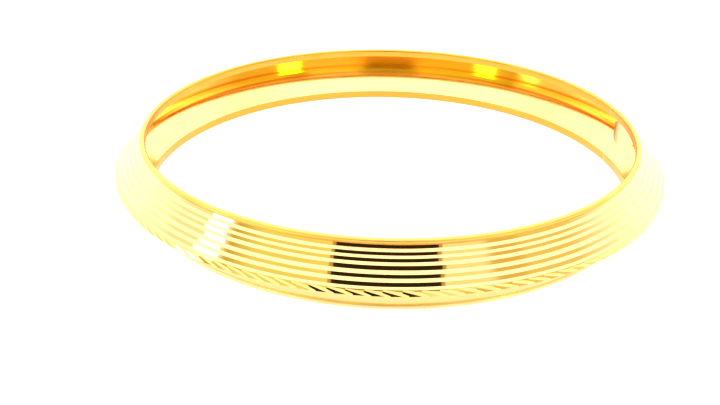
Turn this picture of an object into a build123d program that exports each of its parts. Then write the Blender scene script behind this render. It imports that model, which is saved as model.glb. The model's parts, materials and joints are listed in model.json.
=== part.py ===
from build123d import *
import os
from math import atan, cos, degrees, hypot, radians, sin, tan

# Closed bangle of knife-edge section, built up from five soldered rings round an open inner channel.
# Units are millimetres and degrees. +Z is the wrist axis, and the origin is the centre of the ring
# on the plane that it lies on.

# ---- driving dimensions ----
inner_radius = 31.75        # wrist opening, 2.5 inches across
height = 8.4                # over both rim wires
bead_radius = 0.35          # round outer side of each rim wire
land_height = 1.1           # each rim wire, from its outer end to the foot of its inner land
face_start_angle = 53       # where each face leaves its bead, from the horizontal
terrace_out = 0.564         # radial run of an average terrace
terrace_drop = 0.537        # its fall towards the ridge
terrace_shares = (0.958, 0.866, 0.958, 1.155, 1.037, 1.026)   # each terrace, from the rim, in averages
riser_lengths = (0.37, 0.36, 0.38, 0.47, 0.40, 0.44)          # steep part of each terrace
riser_tilt = 28             # elevation of the riser's normal
wall = 0.46                 # face strip at the rim, from the terrace crests to the smooth inner side
inner_pitch = 48            # steepness of the smooth inner side, so the wall thickens to the ridge
lip_riser = 0.075           # small step above the ridge band
band_length = 0.566         # sloping band that carries the diamond cuts
band_tilt = 20              # elevation of the band's normal
cut_count = 120             # slanted diamond cuts round the ridge
first_cut = 1.35            # azimuth of the first one
cut_slope = 15.5            # fall of a cut's root along the band
crest_slope = 24            # fall of the lower edge of a cut
lower_flank = 12            # angle of the cut's lower flank to the band
upper_flank = 16            # angle of the cut's upper flank to the band
cut_depth = 0.085           # at the middle of a cut
cut_half_length = 1.0       # from the middle of a cut to its start
cut_run_out = 1.7           # from the middle of a cut to clear of the ridge
flank_reach = 1.2           # half width of the cutting tool
joint_azimuth = 13          # where the ring is closed
joint_gap = 0.12            # solder between the two ends
solder_radius = 5.6         # bulge of the solder left in the channel
solder_inner = 33.5         # radius that the bulge reaches
solder_span = 16            # arc that the bulge is cut from

# ---- points of the section, as (radius, height) ----
mid = height / 2
bead_centre = inner_radius + bead_radius
terrace_length = hypot(terrace_out, terrace_drop)
terrace_count = len(terrace_shares)
gap_angle = degrees(joint_gap / inner_radius)


def at(side, radius, rise):
    """A section point at a rise above (side 1) or below (side -1) the middle plane."""
    return (radius, mid + side * rise)


start_radius = bead_centre + bead_radius * cos(radians(face_start_angle))
start_rise = mid - bead_radius - bead_radius * sin(radians(face_start_angle))
end_radius = start_radius + terrace_count * terrace_out
end_rise = start_rise - terrace_count * terrace_drop
inner_start_radius = start_radius - wall * terrace_drop / terrace_length
inner_start_rise = start_rise - wall * terrace_out / terrace_length
inner_slope = 1 / tan(radians(inner_pitch))
inner_end_radius = inner_start_radius + (inner_start_rise - end_rise) * inner_slope
crease_radius = inner_start_radius + inner_start_rise * inner_slope
band_top_radius = end_radius + lip_riser * sin(radians(riser_tilt))
band_top_rise = end_rise - lip_riser * cos(radians(riser_tilt))
edge_radius = band_top_radius + band_length * sin(radians(band_tilt))
edge_rise = band_top_rise - band_length * cos(radians(band_tilt))


def terrace_line(side):
    """The stepped outline of a face, from its rim to the ridge."""
    radius = start_radius
    rise = start_rise
    points = [at(side, radius, rise)]
    for share, riser in zip(terrace_shares, riser_lengths):
        foot_radius = radius + riser * sin(radians(riser_tilt))
        foot_rise = rise - riser * cos(radians(riser_tilt))
        radius += share * terrace_out
        rise -= share * terrace_drop
        points.append(at(side, foot_radius, foot_rise))
        points.append(at(side, radius, rise))
    return points


def radial_plane(azimuth):
    """The half plane through the wrist axis, with x outwards and y up."""
    a = radians(azimuth)
    return Plane(origin=(0, 0, 0), x_dir=(cos(a), sin(a), 0), z_dir=(sin(a), -cos(a), 0))


def rim_section(side):
    """Rim wire: a round bead with a flat inner land that hangs into the channel."""
    bead_rise = mid - bead_radius
    with BuildSketch() as section:
        with BuildLine():
            Polyline(
                at(side, inner_radius, bead_rise),
                at(side, inner_radius, mid - land_height),
                at(side, inner_start_radius, mid - land_height),
                at(side, inner_start_radius, inner_start_rise),
                at(side, start_radius, start_rise),
            )
            ThreePointArc(
                at(side, start_radius, start_rise),
                at(side, bead_centre, mid),
                at(side, inner_radius, bead_rise),
            )
        make_face()
    return section.sketch


def face_section(side):
    """Face strip: terraces outside, smooth inside, standing on the ridge wire."""
    with BuildSketch() as section:
        with BuildLine():
            Polyline(
                *terrace_line(side),
                at(side, inner_end_radius, end_rise),
                at(side, inner_start_radius, inner_start_rise),
                at(side, start_radius, start_rise),
            )
        make_face()
    return section.sketch


def ridge_section():
    """Ridge wire: the cut band and the knife edge outside, the channel's crease inside."""
    with BuildSketch() as section:
        with BuildLine():
            Polyline(
                at(1, end_radius, end_rise),
                at(1, band_top_radius, band_top_rise),
                at(1, edge_radius, edge_rise),
                at(-1, end_radius, end_rise),
                at(-1, inner_end_radius, end_rise),
                at(1, crease_radius, 0),
                at(1, inner_end_radius, end_rise),
                at(1, end_radius, end_rise),
            )
        make_face()
    return section.sketch


upper_rim_section = rim_section(1)
lower_rim_section = rim_section(-1)
upper_face_section = face_section(1)
lower_face_section = face_section(-1)
ridge_wire_section = ridge_section()


# ---- the tool that makes one diamond cut, at azimuth 0 ----
# In the band's own directions: along is round the ring, up is up the band, out is away from it.
tilt = radians(band_tilt)
along = Vector(0, 1, 0)
up = Vector(-sin(tilt), 0, cos(tilt))
out = Vector(cos(tilt), 0, sin(tilt))
deepening = atan(tan(radians(lower_flank)) * sin(radians(crest_slope - cut_slope)))
fall = radians(cut_slope)
root = (along * cos(fall) - up * sin(fall)) * cos(deepening) - out * sin(deepening)
across = root.cross(out).normalized()
band_middle = Vector(
    (band_top_radius + edge_radius) / 2, 0, mid + (band_top_rise + edge_rise) / 2
)
root_point = band_middle - out * cut_depth
with BuildPart() as cutter:
    with BuildSketch(Plane(origin=root_point - root * cut_half_length, x_dir=across, z_dir=root)):
        with BuildLine():
            Polyline(
                (0, 0),
                (flank_reach, -flank_reach * tan(radians(lower_flank))),
                (-flank_reach, -flank_reach * tan(radians(upper_flank))),
                (0, 0),
            )
        make_face()
    extrude(amount=cut_half_length + cut_run_out)

ring_start = radial_plane(joint_azimuth + gap_angle / 2)
ring_arc = 360 - gap_angle

# ---- rim wires ----
with BuildPart() as upper_rim_wire:
    with BuildSketch(ring_start):
        add(upper_rim_section)
    revolve(axis=Axis.Z, revolution_arc=ring_arc)

with BuildPart() as lower_rim_wire:
    with BuildSketch(ring_start):
        add(lower_rim_section)
    revolve(axis=Axis.Z, revolution_arc=ring_arc)

# ---- face strips ----
with BuildPart() as upper_face_strip:
    with BuildSketch(ring_start):
        add(upper_face_section)
    revolve(axis=Axis.Z, revolution_arc=ring_arc)

with BuildPart() as lower_face_strip:
    with BuildSketch(ring_start):
        add(lower_face_section)
    revolve(axis=Axis.Z, revolution_arc=ring_arc)

# ---- ridge wire, with its diamond cuts ----
with BuildPart() as ridge_wire:
    with BuildSketch(ring_start):
        add(ridge_wire_section)
    revolve(axis=Axis.Z, revolution_arc=ring_arc)
    with PolarLocations(0, cut_count, start_angle=first_cut):
        add(cutter.part, mode=Mode.SUBTRACT)

# ---- solder that closes the ring: a thin joint through the whole section, and what ran inside ----
bulge_centre = solder_inner + solder_radius
bulge_angle = radians(joint_azimuth)
with BuildPart() as closing_solder:
    with BuildSketch(radial_plane(joint_azimuth - solder_span / 2)):
        with BuildLine():
            Polyline(
                at(1, crease_radius, 0),
                at(1, inner_start_radius, inner_start_rise),
                at(-1, inner_start_radius, inner_start_rise),
                at(1, crease_radius, 0),
            )
        make_face()
    revolve(axis=Axis.Z, revolution_arc=solder_span)
    with Locations((bulge_centre * cos(bulge_angle), bulge_centre * sin(bulge_angle), mid)):
        Cylinder(radius=solder_radius, height=height, mode=Mode.INTERSECT)
    with BuildSketch(radial_plane(joint_azimuth - gap_angle / 2)):
        add(upper_rim_section)
        add(upper_face_section)
        add(ridge_wire_section)
        add(lower_face_section)
        add(lower_rim_section)
    revolve(axis=Axis.Z, revolution_arc=gap_angle)
    with PolarLocations(0, cut_count, start_angle=first_cut):
        add(cutter.part, mode=Mode.SUBTRACT)

pieces = {
    "upper_rim_wire": upper_rim_wire,
    "lower_rim_wire": lower_rim_wire,
    "upper_face_strip": upper_face_strip,
    "lower_face_strip": lower_face_strip,
    "ridge_wire": ridge_wire,
    "closing_solder": closing_solder,
}
os.makedirs("parts", exist_ok=True)
for name, piece in pieces.items():
    piece.part.label = name
    export_step(piece.part, f"parts/{name}.step")
    print(name, "volume", round(piece.part.volume, 2))
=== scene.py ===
import json
import math
import random

import bmesh
import bpy
from mathutils import Matrix, Vector


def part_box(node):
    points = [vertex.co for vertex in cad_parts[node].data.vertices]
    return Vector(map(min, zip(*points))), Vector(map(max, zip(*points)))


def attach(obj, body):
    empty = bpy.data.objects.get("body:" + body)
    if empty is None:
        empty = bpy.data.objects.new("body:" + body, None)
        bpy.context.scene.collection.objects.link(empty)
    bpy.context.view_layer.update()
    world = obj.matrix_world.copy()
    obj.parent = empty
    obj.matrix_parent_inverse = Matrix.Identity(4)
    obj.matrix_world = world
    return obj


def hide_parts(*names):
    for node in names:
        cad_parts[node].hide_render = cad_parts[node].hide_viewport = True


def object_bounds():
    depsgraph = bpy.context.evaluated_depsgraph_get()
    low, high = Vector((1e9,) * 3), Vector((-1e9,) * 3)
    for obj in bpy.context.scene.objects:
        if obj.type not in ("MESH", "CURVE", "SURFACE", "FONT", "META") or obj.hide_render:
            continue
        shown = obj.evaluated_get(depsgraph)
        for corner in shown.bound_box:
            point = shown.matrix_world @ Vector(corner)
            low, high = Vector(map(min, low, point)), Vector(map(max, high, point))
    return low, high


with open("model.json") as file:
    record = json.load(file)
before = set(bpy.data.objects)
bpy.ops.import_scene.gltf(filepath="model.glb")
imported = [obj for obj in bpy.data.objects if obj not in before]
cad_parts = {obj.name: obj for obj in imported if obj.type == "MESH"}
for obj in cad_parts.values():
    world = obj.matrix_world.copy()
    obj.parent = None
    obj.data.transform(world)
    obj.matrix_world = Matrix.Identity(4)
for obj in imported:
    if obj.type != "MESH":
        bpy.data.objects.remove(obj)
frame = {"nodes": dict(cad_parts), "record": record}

# A knife-edge gold bangle on a white table, lit by a soft tent. The bangle's lengths and the camera's
# place are written in millimetres and multiplied by MM, because everything in Blender is in metres.
# The sizes and distances of the table, the cards and the lamps are written in metres.
MM = 0.001
random.seed(7)

cad_low, cad_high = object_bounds()
mount = next(row for row in frame["record"]["mounts"] if row["name"] == "wrist_opening")

# ---- the section, as in the CAD model ----
# A radius is from the ring's axis, and a rise is from its middle plane.
INNER_RADIUS = mount["dims"]["r_mm"]
HEIGHT = (cad_high.z - cad_low.z) / MM
MID = HEIGHT / 2
BEAD_RADIUS = (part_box("upper_rim_wire")[1].x / MM - INNER_RADIUS) / 2
LAND_HEIGHT = 1.1           # from the top of the bead to the end of the flat land inside
FACE_START_ANGLE = math.radians(53)     # below level, where the terraces leave the bead
TERRACE_OUT = 0.564         # a mean terrace goes this far outwards
TERRACE_DROP = 0.537        # and this far down
TERRACE_SHARES = (0.958, 0.866, 0.958, 1.155, 1.037, 1.026)     # each terrace against the mean one
TERRACE_COUNT = len(TERRACE_SHARES)
RISER_LENGTHS = (0.37, 0.36, 0.38, 0.47, 0.40, 0.44)
RISER_TILT = math.radians(28)           # from upright
WALL = 0.46                 # thickness where the face begins
INNER_PITCH = math.radians(48)          # of the smooth inner side, from level
LIP_RISER = 0.075           # the short step between the last terrace and the cut band
BAND_LENGTH = 0.566
BAND_TILT = math.radians(20)            # from upright
CUT_COUNT = 120
FIRST_CUT = math.radians(1.35)
CUT_SLOPE = 15.5            # degrees that the root of a cut falls along the band
CREST_SLOPE = 24            # and the crest between two cuts
LOWER_FLANK = math.radians(12)
UPPER_FLANK = math.radians(16)
CUT_DEPTH = 0.085
CUT_HALF_LENGTH = 1.0       # from the middle of the band back to where a cut begins
CUT_RUN_OUT = 1.7           # from the middle on to where the cutter ends, past the knife edge
FLANK_REACH = 1.2           # from the root to both sides of the cutter
JOINT_AZIMUTH = math.radians(13)
JOINT_GAP = 0.12

BEAD_CENTRE = INNER_RADIUS + BEAD_RADIUS
START_RADIUS = BEAD_CENTRE + BEAD_RADIUS * math.cos(FACE_START_ANGLE)
START_RISE = MID - BEAD_RADIUS - BEAD_RADIUS * math.sin(FACE_START_ANGLE)
END_RADIUS = START_RADIUS + TERRACE_COUNT * TERRACE_OUT
END_RISE = START_RISE - TERRACE_COUNT * TERRACE_DROP
TERRACE_LENGTH = math.hypot(TERRACE_OUT, TERRACE_DROP)
INNER_START_RADIUS = START_RADIUS - WALL * TERRACE_DROP / TERRACE_LENGTH
INNER_START_RISE = START_RISE - WALL * TERRACE_OUT / TERRACE_LENGTH
INNER_SLOPE = 1 / math.tan(INNER_PITCH)
INNER_END_RADIUS = INNER_START_RADIUS + (INNER_START_RISE - END_RISE) * INNER_SLOPE
CREASE_RADIUS = INNER_START_RADIUS + INNER_START_RISE * INNER_SLOPE
BAND_TOP_RADIUS = END_RADIUS + LIP_RISER * math.sin(RISER_TILT)
BAND_TOP_RISE = END_RISE - LIP_RISER * math.cos(RISER_TILT)
EDGE_RADIUS = BAND_TOP_RADIUS + BAND_LENGTH * math.sin(BAND_TILT)
EDGE_RISE = BAND_TOP_RISE - BAND_LENGTH * math.cos(BAND_TILT)

# ---- how finely the visible rings are made ----
SEGMENTS = 480
EDGE_EASE = 0.014           # radius left on every turned edge by polishing
EASE_SHARE = 0.35           # and the most that it takes of the shorter side
EASE_STEPS = 3
BEAD_STEPS = 22
SMOOTH_TURN = math.radians(16)          # a smaller turn is shaded smoothly and not rounded
TOOL_WANDER = 0.004         # how far a turned line strays from the drawing
TERRACE_WOBBLE = 0.012      # how far it runs out of round
WAVE_COUNT = 4              # as the sum of this many waves,
SLOWEST_WAVE = 7            # with at least this many periods round the ring
QUICKEST_WAVE = 29          # and at most this many
CUT_PLACE_SPREAD = 0.035    # how far a cut strays from its place, as a share of the pitch
CUT_DEPTH_SPREAD = (0.9, 1.08)
CUT_SLOPE_SPREAD = 0.8      # degrees
CUT_LENGTH_SPREAD = (0.93, 1.04)
CUT_SHARP_TURN = math.radians(4)        # a larger turn on the ridge is shaded as an edge


# ---------------------------------------------------------------- sections
class Wobble:
    """How far a turned line runs out of round: waves, as (periods round the ring, size, phase)."""

    def __init__(self, size):
        self.waves = []
        for periods in random.sample(range(SLOWEST_WAVE, QUICKEST_WAVE + 1), WAVE_COUNT):
            reach = size * (2 * SLOWEST_WAVE) / (periods + SLOWEST_WAVE)
            self.waves.append((periods, reach, random.uniform(0, 2 * math.pi)))

    def offset(self, angle):
        return sum(reach * math.cos(periods * angle + phase) for periods, reach, phase in self.waves)

    def slope(self, angle):
        """How fast the offset changes with the angle."""
        total = 0
        for periods, reach, phase in self.waves:
            total += reach * periods * math.sin(periods * angle + phase)
        return -total


class Still:
    """A line that two pieces share, which runs true."""

    def offset(self, angle):
        return 0.0

    def slope(self, angle):
        return 0.0


STILL = Still()


def eased(points, ease=EDGE_EASE):
    """Closed outline -> list of (radius, rise, normal radius, normal rise, corner), edges rounded."""
    count = len(points)
    made = []
    for i in range(count):
        before = Vector(points[i - 1])
        here = Vector(points[i])
        after = Vector(points[(i + 1) % count])
        into = (here - before).normalized()
        away = (after - here).normalized()
        turn = math.atan2(into.x * away.y - into.y * away.x, into.dot(away))
        normal_in = Vector((into.y, -into.x))
        normal_out = Vector((away.y, -away.x))
        if abs(turn) < SMOOTH_TURN:
            normal = (normal_in + normal_out).normalized()
            made.append((here.x, here.y, normal.x, normal.y, i))
            continue
        room = EASE_SHARE * min((here - before).length, (after - here).length)
        setback = min(ease * math.tan(abs(turn) / 2), room)
        radius = setback / math.tan(abs(turn) / 2)
        start = here - into * setback
        centre = start - normal_in * radius * math.copysign(1, turn)
        for step in range(EASE_STEPS + 1):
            angle = turn * step / EASE_STEPS
            spin = Matrix.Rotation(angle, 2)
            normal = spin @ normal_in
            place = centre + normal * radius * math.copysign(1, turn)
            made.append((place.x, place.y, normal.x, normal.y, i))
    return made


def flipped(points):
    """The mirror image of an outline on the other side of the middle plane, running the same way round."""
    return [(radius, -rise) for radius, rise in reversed(points)]


def rim_outline():
    """Round bead with a flat inner land, for the upper rim."""
    bead_rise = MID - BEAD_RADIUS
    points = [(START_RADIUS, START_RISE)]
    sweep = math.pi + FACE_START_ANGLE
    for step in range(1, BEAD_STEPS + 1):
        angle = -FACE_START_ANGLE + sweep * step / BEAD_STEPS
        radius = BEAD_CENTRE + BEAD_RADIUS * math.cos(angle)
        points.append((radius, bead_rise + BEAD_RADIUS * math.sin(angle)))
    points += [
        (INNER_RADIUS, MID - LAND_HEIGHT),
        (INNER_START_RADIUS, MID - LAND_HEIGHT),
        (INNER_START_RADIUS, INNER_START_RISE),
    ]
    return points


def face_outline():
    """Terraces outside and a smooth inner side, for the upper face, and how each corner wobbles."""
    radius, rise = START_RADIUS, START_RISE
    outer = [(radius, rise)]
    wobbles = [STILL]
    for share, riser in zip(TERRACE_SHARES, RISER_LENGTHS):
        wander = random.uniform(-TOOL_WANDER, TOOL_WANDER)
        foot_radius = radius + riser * math.sin(RISER_TILT) + wander
        foot_rise = rise - riser * math.cos(RISER_TILT) + wander
        radius += share * TERRACE_OUT
        rise -= share * TERRACE_DROP
        outer.append((foot_radius, foot_rise))
        outer.append((radius, rise))
        wobbles += [wobbles[-1], Wobble(TERRACE_WOBBLE)]
    wobbles[-1] = STILL
    inner = [(INNER_START_RADIUS, INNER_START_RISE), (INNER_END_RADIUS, END_RISE)]
    return inner + outer[::-1], [STILL, STILL] + wobbles[::-1]


def ridge_outline():
    """Cut band and knife edge outside, the channel's crease inside."""
    return [
        (INNER_END_RADIUS, -END_RISE),
        (END_RADIUS, -END_RISE),
        (EDGE_RADIUS, EDGE_RISE),
        (BAND_TOP_RADIUS, BAND_TOP_RISE),
        (END_RADIUS, END_RISE),
        (INNER_END_RADIUS, END_RISE),
        (CREASE_RADIUS, 0),
    ]


# ---------------------------------------------------------------- meshes
def closed_ring(name, outline, wobbles=None, ease=EDGE_EASE):
    """A ring from one side of the soldered joint round to the other, with its section's own normals."""
    wobbles = wobbles or [STILL] * len(outline)
    gap = JOINT_GAP / INNER_RADIUS
    start = JOINT_AZIMUTH + gap / 2
    points = []
    normals = []
    for station in range(SEGMENTS + 1):
        angle = start + (2 * math.pi - gap) * station / SEGMENTS
        cosine, sine = math.cos(angle), math.sin(angle)
        wandering = []
        for (radius, rise), wobble in zip(outline, wobbles):
            wandering.append((radius + wobble.offset(angle), rise))
        if ease:
            section = eased(wandering, ease)
        else:
            section = [(radius, rise, 0, 0, 0) for radius, rise in wandering]
        for radius, rise, normal_out, normal_up, corner in section:
            lean = -normal_out * wobbles[corner].slope(angle) / radius
            points.append((radius * cosine * MM, radius * sine * MM, (MID + rise) * MM))
            normal_x = normal_out * cosine - lean * sine
            normal_y = normal_out * sine + lean * cosine
            normals.append((normal_x, normal_y, normal_up))
    count = len(section)
    faces = []
    for first in range(0, SEGMENTS * count, count):
        for i in range(count):
            j = (i + 1) % count
            faces.append((first + i, first + count + i, first + count + j, first + j))
    faces.append(tuple(range(count)))
    faces.append(tuple(reversed(range(SEGMENTS * count, (SEGMENTS + 1) * count))))
    mesh = bpy.data.meshes.new(name)
    mesh.from_pydata(points, [], faces)
    if ease:
        mesh.shade_smooth()
        mesh.normals_split_custom_set_from_vertices(normals)
    piece = bpy.data.objects.new(name, mesh)
    bpy.context.scene.collection.objects.link(piece)
    return piece


def wedge_points(azimuth, depth, slope, length):
    """Corners of the cutter for one diamond cut: a shallow V along the band that deepens as it falls."""
    spin = Matrix.Rotation(azimuth, 3, "Z")
    along = Vector((0, 1, 0))
    up = Vector((-math.sin(BAND_TILT), 0, math.cos(BAND_TILT)))
    out = Vector((math.cos(BAND_TILT), 0, math.sin(BAND_TILT)))
    fall = math.radians(slope)
    lean = math.sin(math.radians(CREST_SLOPE - CUT_SLOPE))
    deepening = math.atan(math.tan(LOWER_FLANK) * lean)
    root = along * math.cos(fall) - up * math.sin(fall)
    root = root * math.cos(deepening) - out * math.sin(deepening)
    across = root.cross(out).normalized()
    outward = across.cross(root)
    middle = Vector((
        (BAND_TOP_RADIUS + EDGE_RADIUS) / 2,
        0,
        MID + (BAND_TOP_RISE + EDGE_RISE) / 2,
    ))
    base = middle - out * depth
    corners = []
    for distance in (-length, CUT_RUN_OUT):
        apex = base + root * distance
        lower = apex + (across + outward * math.tan(LOWER_FLANK)) * FLANK_REACH
        upper = apex - (across - outward * math.tan(UPPER_FLANK)) * FLANK_REACH
        corners += [spin @ corner * MM for corner in (apex, lower, upper)]
    return corners


def cutters(first_cut):
    """Every second diamond cut as one mesh, each a little different, as a hand-fed tool leaves them."""
    points = []
    faces = []
    pitch = 2 * math.pi / CUT_COUNT
    for cut in range(first_cut, CUT_COUNT, 2):
        azimuth = FIRST_CUT + pitch * (cut + random.uniform(-CUT_PLACE_SPREAD, CUT_PLACE_SPREAD))
        depth = CUT_DEPTH * random.uniform(*CUT_DEPTH_SPREAD)
        slope = CUT_SLOPE + random.uniform(-CUT_SLOPE_SPREAD, CUT_SLOPE_SPREAD)
        length = CUT_HALF_LENGTH * random.uniform(*CUT_LENGTH_SPREAD)
        first = len(points)
        points += wedge_points(azimuth, depth, slope, length)
        for face in ((0, 1, 2), (5, 4, 3), (0, 3, 4, 1), (1, 4, 5, 2), (2, 5, 3, 0)):
            faces.append(tuple(first + i for i in face))
    mesh = bpy.data.meshes.new("cutters")
    mesh.from_pydata(points, [], faces)
    shape = bmesh.new()
    shape.from_mesh(mesh)
    bmesh.ops.recalc_face_normals(shape, faces=shape.faces)
    shape.to_mesh(mesh)
    shape.free()
    piece = bpy.data.objects.new("cutters", mesh)
    bpy.context.scene.collection.objects.link(piece)
    return piece


def applied(piece, kind, **settings):
    """Puts one modifier on a piece and bakes it into the mesh."""
    modifier = piece.modifiers.new(kind, kind)
    for key, value in settings.items():
        setattr(modifier, key, value)
    graph = bpy.context.evaluated_depsgraph_get()
    mesh = bpy.data.meshes.new_from_object(piece.evaluated_get(graph))
    piece.modifiers.clear()
    old = piece.data
    piece.data = mesh
    bpy.data.meshes.remove(old)


def ridge_ring(name):
    """The ridge wire with its cuts taken out of the band."""
    piece = closed_ring(name, ridge_outline(), ease=0)
    for first_cut in (0, 1):
        tool = cutters(first_cut)
        applied(piece, "BOOLEAN", operation="DIFFERENCE", solver="EXACT", object=tool)
        bpy.data.objects.remove(tool)
    piece.data.shade_smooth()
    piece.data.set_sharp_from_angle(angle=CUT_SHARP_TURN)
    return piece


# ---------------------------------------------------------------- materials
PATCH_RATE = 260            # uneven polish, in patches per metre
PATCH_DETAIL = 2
PATCH_TINT = (0.99, 0.96, 0.88)         # what a patch leaves of the colour where it is strongest
SCRATCH_RATE = 350          # scratches per metre round the ring
SCRATCH_STRETCH = 26        # and how many times closer together they are across it
SCRATCH_DETAIL = 3
WORN = 0.5                  # patches times scratches, from where the polish is at its worst
POLISH_SPREAD = (0.6, 1.5)  # its best and its worst, as shares of the roughness
INSIDE_LIMIT = -0.3         # a face that turns this much towards the axis is inside
PAINTED_CREASE_SHADE = (0.93, 0.30, 0.03)            # painted shade: a deeper, darker colour near the crease
PAINTED_SHADE_RADII = (CREASE_RADIUS - 0.66, CREASE_RADIUS - 0.49)    # the painted shade comes up between these
PAINTED_SHADE_SIDES = (4, 22)     # the painted shade is thin where x is below the first and full past the second
PAINTED_SHADE_THIN = 0.4


def math_node(tree, operation, first, second=None):
    """One step of arithmetic on a socket, with a second socket or a number."""
    node = tree.nodes.new("ShaderNodeMath")
    node.operation = operation
    tree.links.new(first, node.inputs[0])
    if isinstance(second, (int, float)):
        node.inputs[1].default_value = second
    elif second is not None:
        tree.links.new(second, node.inputs[1])
    return node.outputs["Value"]


def ramp(tree, value, first, last, low, high):
    """Goes from low to high while the value, a length, goes from first to last millimetres."""
    node = tree.nodes.new("ShaderNodeMapRange")
    node.inputs["From Min"].default_value = first * MM
    node.inputs["From Max"].default_value = last * MM
    node.inputs["To Min"].default_value = low
    node.inputs["To Max"].default_value = high
    tree.links.new(value, node.inputs["Value"])
    return node.outputs["Result"]


def ring_place(tree):
    """Sockets for x, y and z and for the radius, which is the distance from the axis."""
    place = tree.nodes.new("ShaderNodeTexCoord")
    split = tree.nodes.new("ShaderNodeSeparateXYZ")
    tree.links.new(place.outputs["Object"], split.inputs["Vector"])
    x, y, z = (split.outputs[axis] for axis in "XYZ")
    x_squared = math_node(tree, "MULTIPLY", x, x)
    y_squared = math_node(tree, "MULTIPLY", y, y)
    radius = math_node(tree, "SQRT", math_node(tree, "ADD", x_squared, y_squared))
    return {"x": x, "y": y, "z": z, "radius": radius}


def noise(tree, along, across, detail):
    """Noise drawn out round the ring: slow in x and y, quick in height and in radius."""
    nodes, links = tree.nodes, tree.links
    place = ring_place(tree)
    stretched = nodes.new("ShaderNodeCombineXYZ")
    links.new(math_node(tree, "MULTIPLY", place["x"], along), stretched.inputs["X"])
    links.new(math_node(tree, "MULTIPLY", place["y"], along), stretched.inputs["Y"])
    links.new(math_node(tree, "MULTIPLY", place["z"], across), stretched.inputs["Z"])
    texture = nodes.new("ShaderNodeTexNoise")
    texture.noise_dimensions = "4D"
    texture.inputs["Scale"].default_value = 1
    texture.inputs["Detail"].default_value = detail
    links.new(stretched.outputs["Vector"], texture.inputs["Vector"])
    links.new(math_node(tree, "MULTIPLY", place["radius"], across), texture.inputs["W"])
    return texture.outputs["Fac"]


def gold(name, colour, roughness, scratch_depth, painted_crease_shade=False):
    """Gold with fine scratches round the ring and an uneven polish; the last argument adds painted shade,
    a deeper colour near the crease.
    """
    material = bpy.data.materials.new(name)
    material.use_nodes = True
    tree = material.node_tree
    nodes, links = tree.nodes, tree.links
    shader = nodes["Principled BSDF"]
    shader.inputs["Metallic"].default_value = 1.0
    patches = noise(tree, PATCH_RATE, PATCH_RATE, PATCH_DETAIL)
    scratches = noise(tree, SCRATCH_RATE, SCRATCH_RATE * SCRATCH_STRETCH, SCRATCH_DETAIL)

    tint = nodes.new("ShaderNodeMix")
    tint.data_type = "RGBA"
    tint.inputs["A"].default_value = (*colour, 1)
    tint.inputs["B"].default_value = (*(part * left for part, left in zip(colour, PATCH_TINT)), 1)
    links.new(patches, tint.inputs["Factor"])
    finished = tint.outputs["Result"]
    # Painted shade: a deeper colour near the crease, thinner where x is small.
    if painted_crease_shade:
        place = ring_place(tree)
        painted_shade_near_crease = ramp(tree, place["radius"], *PAINTED_SHADE_RADII, 0, 1)
        sides = ramp(tree, math_node(tree, "ABSOLUTE", place["x"]), *PAINTED_SHADE_SIDES, PAINTED_SHADE_THIN, 1)
        painted_shade_mix = nodes.new("ShaderNodeMix")
        painted_shade_mix.data_type = "RGBA"
        painted_shade_mix.inputs["B"].default_value = (*PAINTED_CREASE_SHADE, 1)
        links.new(math_node(tree, "MULTIPLY", painted_shade_near_crease, sides), painted_shade_mix.inputs["Factor"])
        links.new(finished, painted_shade_mix.inputs["A"])
        finished = painted_shade_mix.outputs["Result"]
    links.new(finished, shader.inputs["Base Color"])

    wear = math_node(tree, "MULTIPLY", patches, scratches)
    polish = nodes.new("ShaderNodeMapRange")
    polish.inputs["From Max"].default_value = WORN
    polish.inputs["To Min"].default_value = roughness * POLISH_SPREAD[0]
    polish.inputs["To Max"].default_value = roughness * POLISH_SPREAD[1]
    links.new(wear, polish.inputs["Value"])
    links.new(polish.outputs["Result"], shader.inputs["Roughness"])

    bump = nodes.new("ShaderNodeBump")
    bump.inputs["Distance"].default_value = scratch_depth * MM
    links.new(scratches, bump.inputs["Height"])
    links.new(bump.outputs["Normal"], shader.inputs["Normal"])
    return material


def give_inside_painted_light(piece, material):
    """Gives the faces towards the wrist a material of their own, whose colour holds painted light."""
    piece.data.materials.append(material)
    for face in piece.data.polygons:
        outwards = Vector((face.center.x, face.center.y, 0)).normalized()
        if face.normal.dot(outwards) < INSIDE_LIMIT:
            face.material_index = 1


def plain(name, colour, roughness):
    """A plain surface for what isn't part of the object."""
    material = bpy.data.materials.new(name)
    material.use_nodes = True
    shader = material.node_tree.nodes["Principled BSDF"]
    shader.inputs["Base Color"].default_value = (*colour, 1)
    shader.inputs["Roughness"].default_value = roughness
    return material


TABLE_COLOUR = (0.3, 0.3, 0.3)
TABLE_ROUGHNESS = 0.3
TABLE_GLOW = 1.0


def light_table():
    """White glossy acrylic that is lit from below, so that the overhang casts hardly any shadow."""
    material = plain("light_table", TABLE_COLOUR, TABLE_ROUGHNESS)
    shader = material.node_tree.nodes["Principled BSDF"]
    shader.inputs["Emission Color"].default_value = (1, 1, 1, 1)
    shader.inputs["Emission Strength"].default_value = TABLE_GLOW
    return material


# ---------------------------------------------------------------- the bangle
# Each finish has a name, a colour, a roughness and the depth of its scratches.
face_gold = gold("face_gold", (1.0, 0.70, 0.27), 0.035, 0.0007)
# Painted shade: darker and more orange than the faces' gold, for the dimmer light that the rims reflect.
rim_gold = gold("rim_gold", (1.0, 0.59, 0.15), 0.44, 0.0012)
# Painted light: a paler gold that hides the shade between the lower rim and the lower face.
lower_rim_gold_painted_light = gold("lower_rim_gold_painted_light", (1.0, 0.78, 0.40), 0.46, 0.0012)
ridge_gold = gold("ridge_gold", (1.0, 0.69, 0.25), 0.03, 0.0004)
# Painted reflection: a deeper orange than the faces' gold, for light bounced round inside the bangle.
inner_rim_gold_painted_reflection = gold("inner_rim_gold_painted_reflection", (0.96, 0.44, 0.07), 0.2, 0.0012)
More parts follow.
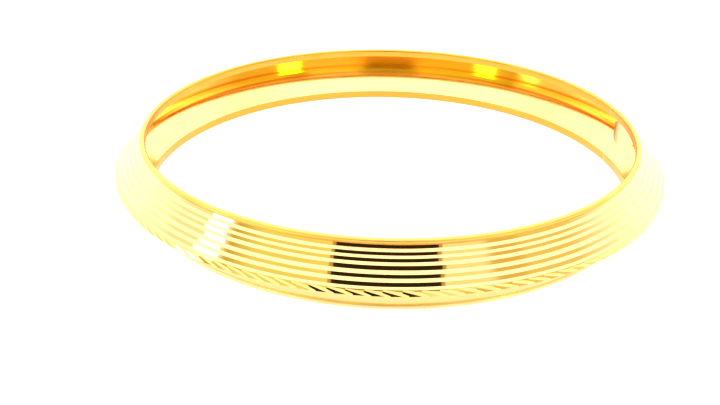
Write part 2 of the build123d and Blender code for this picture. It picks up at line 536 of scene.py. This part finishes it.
# Painted reflection: a yellower gold than the faces', for light bounced round inside the bangle.
upper_inner_gold_painted_reflection = gold("upper_inner_gold_painted_reflection", (1.0, 0.69, 0.10), 0.11, 0.0009)
# Painted shade: a deeper colour near the crease.
lower_inner_gold_painted_shade = gold("lower_inner_gold_painted_shade", (1.0, 0.70, 0.27), 0.11, 0.0009, painted_crease_shade=True)
# Painted light: a paler gold that hides the dark which the joint reflects.
solder_gold = gold("solder_gold", (1.0, 0.78, 0.42), 0.38, 0.002)

upper_outline, upper_wobbles = face_outline()
lower_outline, lower_wobbles = face_outline()
upper_face = closed_ring("upper_face", upper_outline, upper_wobbles)
lower_face = closed_ring("lower_face", flipped(lower_outline), lower_wobbles[::-1])
upper_rim = closed_ring("upper_rim", rim_outline())
lower_rim = closed_ring("lower_rim", flipped(rim_outline()))
# Each node has its piece, the finish outside, the material inside, whose colour holds painted light, and
# the slot.
rings = {
    "upper_rim_wire": (upper_rim, rim_gold, inner_rim_gold_painted_reflection, "rim_gold"),
    "lower_rim_wire": (lower_rim, lower_rim_gold_painted_light, inner_rim_gold_painted_reflection, "rim_gold"),
    "upper_face_strip": (upper_face, face_gold, upper_inner_gold_painted_reflection, "face_gold"),
    "lower_face_strip": (lower_face, face_gold, lower_inner_gold_painted_shade, "face_gold"),
    "ridge_wire": (ridge_ring("ridge"), ridge_gold, upper_inner_gold_painted_reflection, "ridge_gold"),
}
for node, (piece, material, inside_painted_light_material, slot) in rings.items():
    piece.data.materials.clear()
    piece.data.materials.append(material)
    give_inside_painted_light(piece, inside_painted_light_material)
    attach(piece, "root")
    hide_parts(node)

solder = frame["nodes"]["closing_solder"]
solder.data.materials.clear()
solder.data.materials.append(solder_gold)

# ---------------------------------------------------------------- table, light and camera
TABLE_SIZE = 6
bpy.ops.mesh.primitive_plane_add(size=TABLE_SIZE)
floor = bpy.context.object
floor.name = "table_top"
floor.data.materials.append(light_table())

CAMERA_PLACE = Vector((0, -106.33, 45.99 + MID)) * MM
CAMERA_PITCH = math.radians(27.01)
CAMERA_YAW = math.radians(-2.012)
CAMERA_ROLL = math.radians(0.683)
SENSOR_WIDTH = 36
FOCAL_LENGTH = 42.62
NEAREST_SEEN = 0.005
FARTHEST_SEEN = 20
camera_data = bpy.data.cameras.new("camera")
camera_data.sensor_width = SENSOR_WIDTH
camera_data.lens = FOCAL_LENGTH
camera_data.clip_start = NEAREST_SEEN
camera_data.clip_end = FARTHEST_SEEN
camera = bpy.data.objects.new("camera", camera_data)
bpy.context.scene.collection.objects.link(camera)
look = Vector((
    math.sin(CAMERA_YAW) * math.cos(CAMERA_PITCH),
    math.cos(CAMERA_YAW) * math.cos(CAMERA_PITCH),
    -math.sin(CAMERA_PITCH),
))
turn = look.to_track_quat("-Z", "Y") @ Matrix.Rotation(CAMERA_ROLL, 3, "Z").to_quaternion()
camera.rotation_mode = "QUATERNION"
camera.rotation_quaternion = turn
camera.location = CAMERA_PLACE
bpy.context.scene.camera = camera

# ---- what the metal reflects ----
WHITE_WALL = (0.95, 0.95, 0.95)
SIDE_WALL = (0.56, 0.56, 0.54)
GAP = (0.55, 0.52, 0.42)
DIM_ROOM = (0.40, 0.31, 0.13)
DARK_ROOM = (0.30, 0.26, 0.09)
ROOM_LEFT = (0.37, 0.34, 0.14)
TAN_LEFT = (0.44, 0.45, 0.20)
TAN_RIGHT = (0.44, 0.39, 0.20)
BEHIND_CAMERA = (0.54, 0.47, 0.22)
WALL_LEVELS = (             # azimuth in degrees, and colour as a share of the light overhead
    (-180, SIDE_WALL),
    (-157, SIDE_WALL),
    (-154, DARK_ROOM),
    (-149, ROOM_LEFT),
    (-142, TAN_LEFT),
    (-122, TAN_LEFT),
    (-106, BEHIND_CAMERA),
    (-76, BEHIND_CAMERA),
    (-70, GAP),
    (-50, GAP),
    (-46, DIM_ROOM),
    (-36, DIM_ROOM),
    (-32, TAN_RIGHT),
    (-12, TAN_RIGHT),
    (2, SIDE_WALL),
    (25, WHITE_WALL),
    (155, WHITE_WALL),
    (180, SIDE_WALL),
)
WALL_TOP = math.radians(58)             # higher than this, only the white overhead is seen
WALL_FULL = math.radians(38)            # lower than this, only the wall
TENT_STRENGTH = 2.1
CARD_CORNER = (0.66, 0.6)   # where the cut-off corners of a card begin, as shares of its half sizes
CARD_ROUGHNESS = 0.6
CARD_SHINE = 0.1
LAMP_DISTANCE = 0.6
WHITE_LAMP = (1, 1, 1)
YELLOW_LAMP = (1.0, 0.95, 0.2)
BODY_BLACK = (0.012, 0.007, 0.003)
GRIP_BROWN = (0.35, 0.24, 0.1)
BODY_BEHIND_LENS = 0.006
BODY_ASIDE = Vector((0.0012, 0, 0.001))
GRIP_BEHIND_BODY = 0.002
PLATE_PLACE = Vector((0.001, -0.106, 0.0156))


def flag(name, centre, half_width, half_height, colour, top=1.0):
    """An eight-sided card that faces the bangle and shows only in reflections."""
    along, up = CARD_CORNER
    aim = (Vector((0, 0, MID * MM)) - centre).normalized()
    side = Vector((0, 0, 1)).cross(aim).normalized() * half_width
    rise = aim.cross(side).normalized() * half_height
    upper = ((1, up), (along, top), (-along, top), (-1, up))
    lower = ((-1, -up), (-along, -1), (along, -1), (1, -up))
    corners = [centre + side * across + rise * height for across, height in upper + lower]
    mesh = bpy.data.meshes.new(name)
    mesh.from_pydata(corners, [], [tuple(range(len(corners)))])
    card = bpy.data.objects.new(name, mesh)
    bpy.context.scene.collection.objects.link(card)
    material = plain(name, colour, CARD_ROUGHNESS)
    shader = material.node_tree.nodes["Principled BSDF"]
    shader.inputs["Specular IOR Level"].default_value = CARD_SHINE
    card.data.materials.append(material)
    card.visible_camera = False
    card.visible_diffuse = False
    card.visible_shadow = False


def softbox(name, azimuth, elevation, width, height, power, colour):
    """A soft lamp that faces the bangle from a direction given in degrees."""
    turn, lift = math.radians(azimuth), math.radians(elevation)
    data = bpy.data.lights.new(name, "AREA")
    data.shape = "RECTANGLE"
    data.size = width
    data.size_y = height
    data.energy = power
    data.color = colour
    lamp = bpy.data.objects.new(name, data)
    bpy.context.scene.collection.objects.link(lamp)
    level = math.cos(lift)
    away = Vector((math.cos(turn) * level, math.sin(turn) * level, math.sin(lift)))
    lamp.location = away * LAMP_DISTANCE
    lamp.rotation_mode = "QUATERNION"
    lamp.rotation_quaternion = away.to_track_quat("Z", "Y")
    lamp.visible_camera = False


def tent():
    """White overhead and behind, dimmer low down at the sides and towards the room with the camera."""
    world = bpy.data.worlds.new("tent")
    bpy.context.scene.world = world
    world.use_nodes = True
    tree = world.node_tree
    nodes, links = tree.nodes, tree.links
    background = nodes["Background"]
    place = nodes.new("ShaderNodeTexCoord")
    split = nodes.new("ShaderNodeSeparateXYZ")
    links.new(place.outputs["Generated"], split.inputs["Vector"])

    azimuth = math_node(tree, "ARCTAN2", split.outputs["Y"], split.outputs["X"])
    share = nodes.new("ShaderNodeMapRange")
    share.inputs["From Min"].default_value = -math.pi
    share.inputs["From Max"].default_value = math.pi
    links.new(azimuth, share.inputs["Value"])
    wall = nodes.new("ShaderNodeValToRGB")
    stops = wall.color_ramp.elements
    while len(stops) < len(WALL_LEVELS):
        stops.new(0.5)
    for stop, (degrees, colour) in zip(stops, WALL_LEVELS):
        stop.position = (degrees + 180) / 360
        stop.color = (*colour, 1)
    links.new(share.outputs["Result"], wall.inputs["Fac"])

    low = nodes.new("ShaderNodeMapRange")
    low.interpolation_type = "SMOOTHSTEP"
    low.inputs["From Min"].default_value = math.sin(WALL_TOP)
    low.inputs["From Max"].default_value = math.sin(WALL_FULL)
    links.new(split.outputs["Z"], low.inputs["Value"])
    both = nodes.new("ShaderNodeMix")
    both.data_type = "RGBA"
    both.inputs["A"].default_value = (1, 1, 1, 1)
    links.new(low.outputs["Result"], both.inputs["Factor"])
    links.new(wall.outputs["Color"], both.inputs["B"])
    links.new(both.outputs["Result"], background.inputs["Color"])
    background.inputs["Strength"].default_value = TENT_STRENGTH


tent()
# Each card has a name, a place, half its width, half its height and a colour. The top says how far
# up its upper edge is, as a share of half the height.
camera_back = CAMERA_PLACE - look * BODY_BEHIND_LENS + BODY_ASIDE
grip_place = camera_back - look * GRIP_BEHIND_BODY
flag("dark_camera", camera_back, 0.0378, 0.036, BODY_BLACK, top=0.82)
flag("camera_grip", grip_place, 0.0415, 0.034, GRIP_BROWN, top=0.95)
flag("tripod_plate", PLATE_PLACE, 0.029, 0.0016, BODY_BLACK)
# Each lamp has a name, an azimuth, an elevation, a width, a height, a power and a colour.
softbox("window", -160, 15, 0.1, 0.072, 0.14, WHITE_LAMP)
softbox("right_lamp", -39.2, 8.2, 0.105, 0.05, 0.16, YELLOW_LAMP)
softbox("left_lamp", -137.4, 7.8, 0.095, 0.04, 0.1, YELLOW_LAMP)
bpy.context.scene.view_settings.view_transform = "Standard"
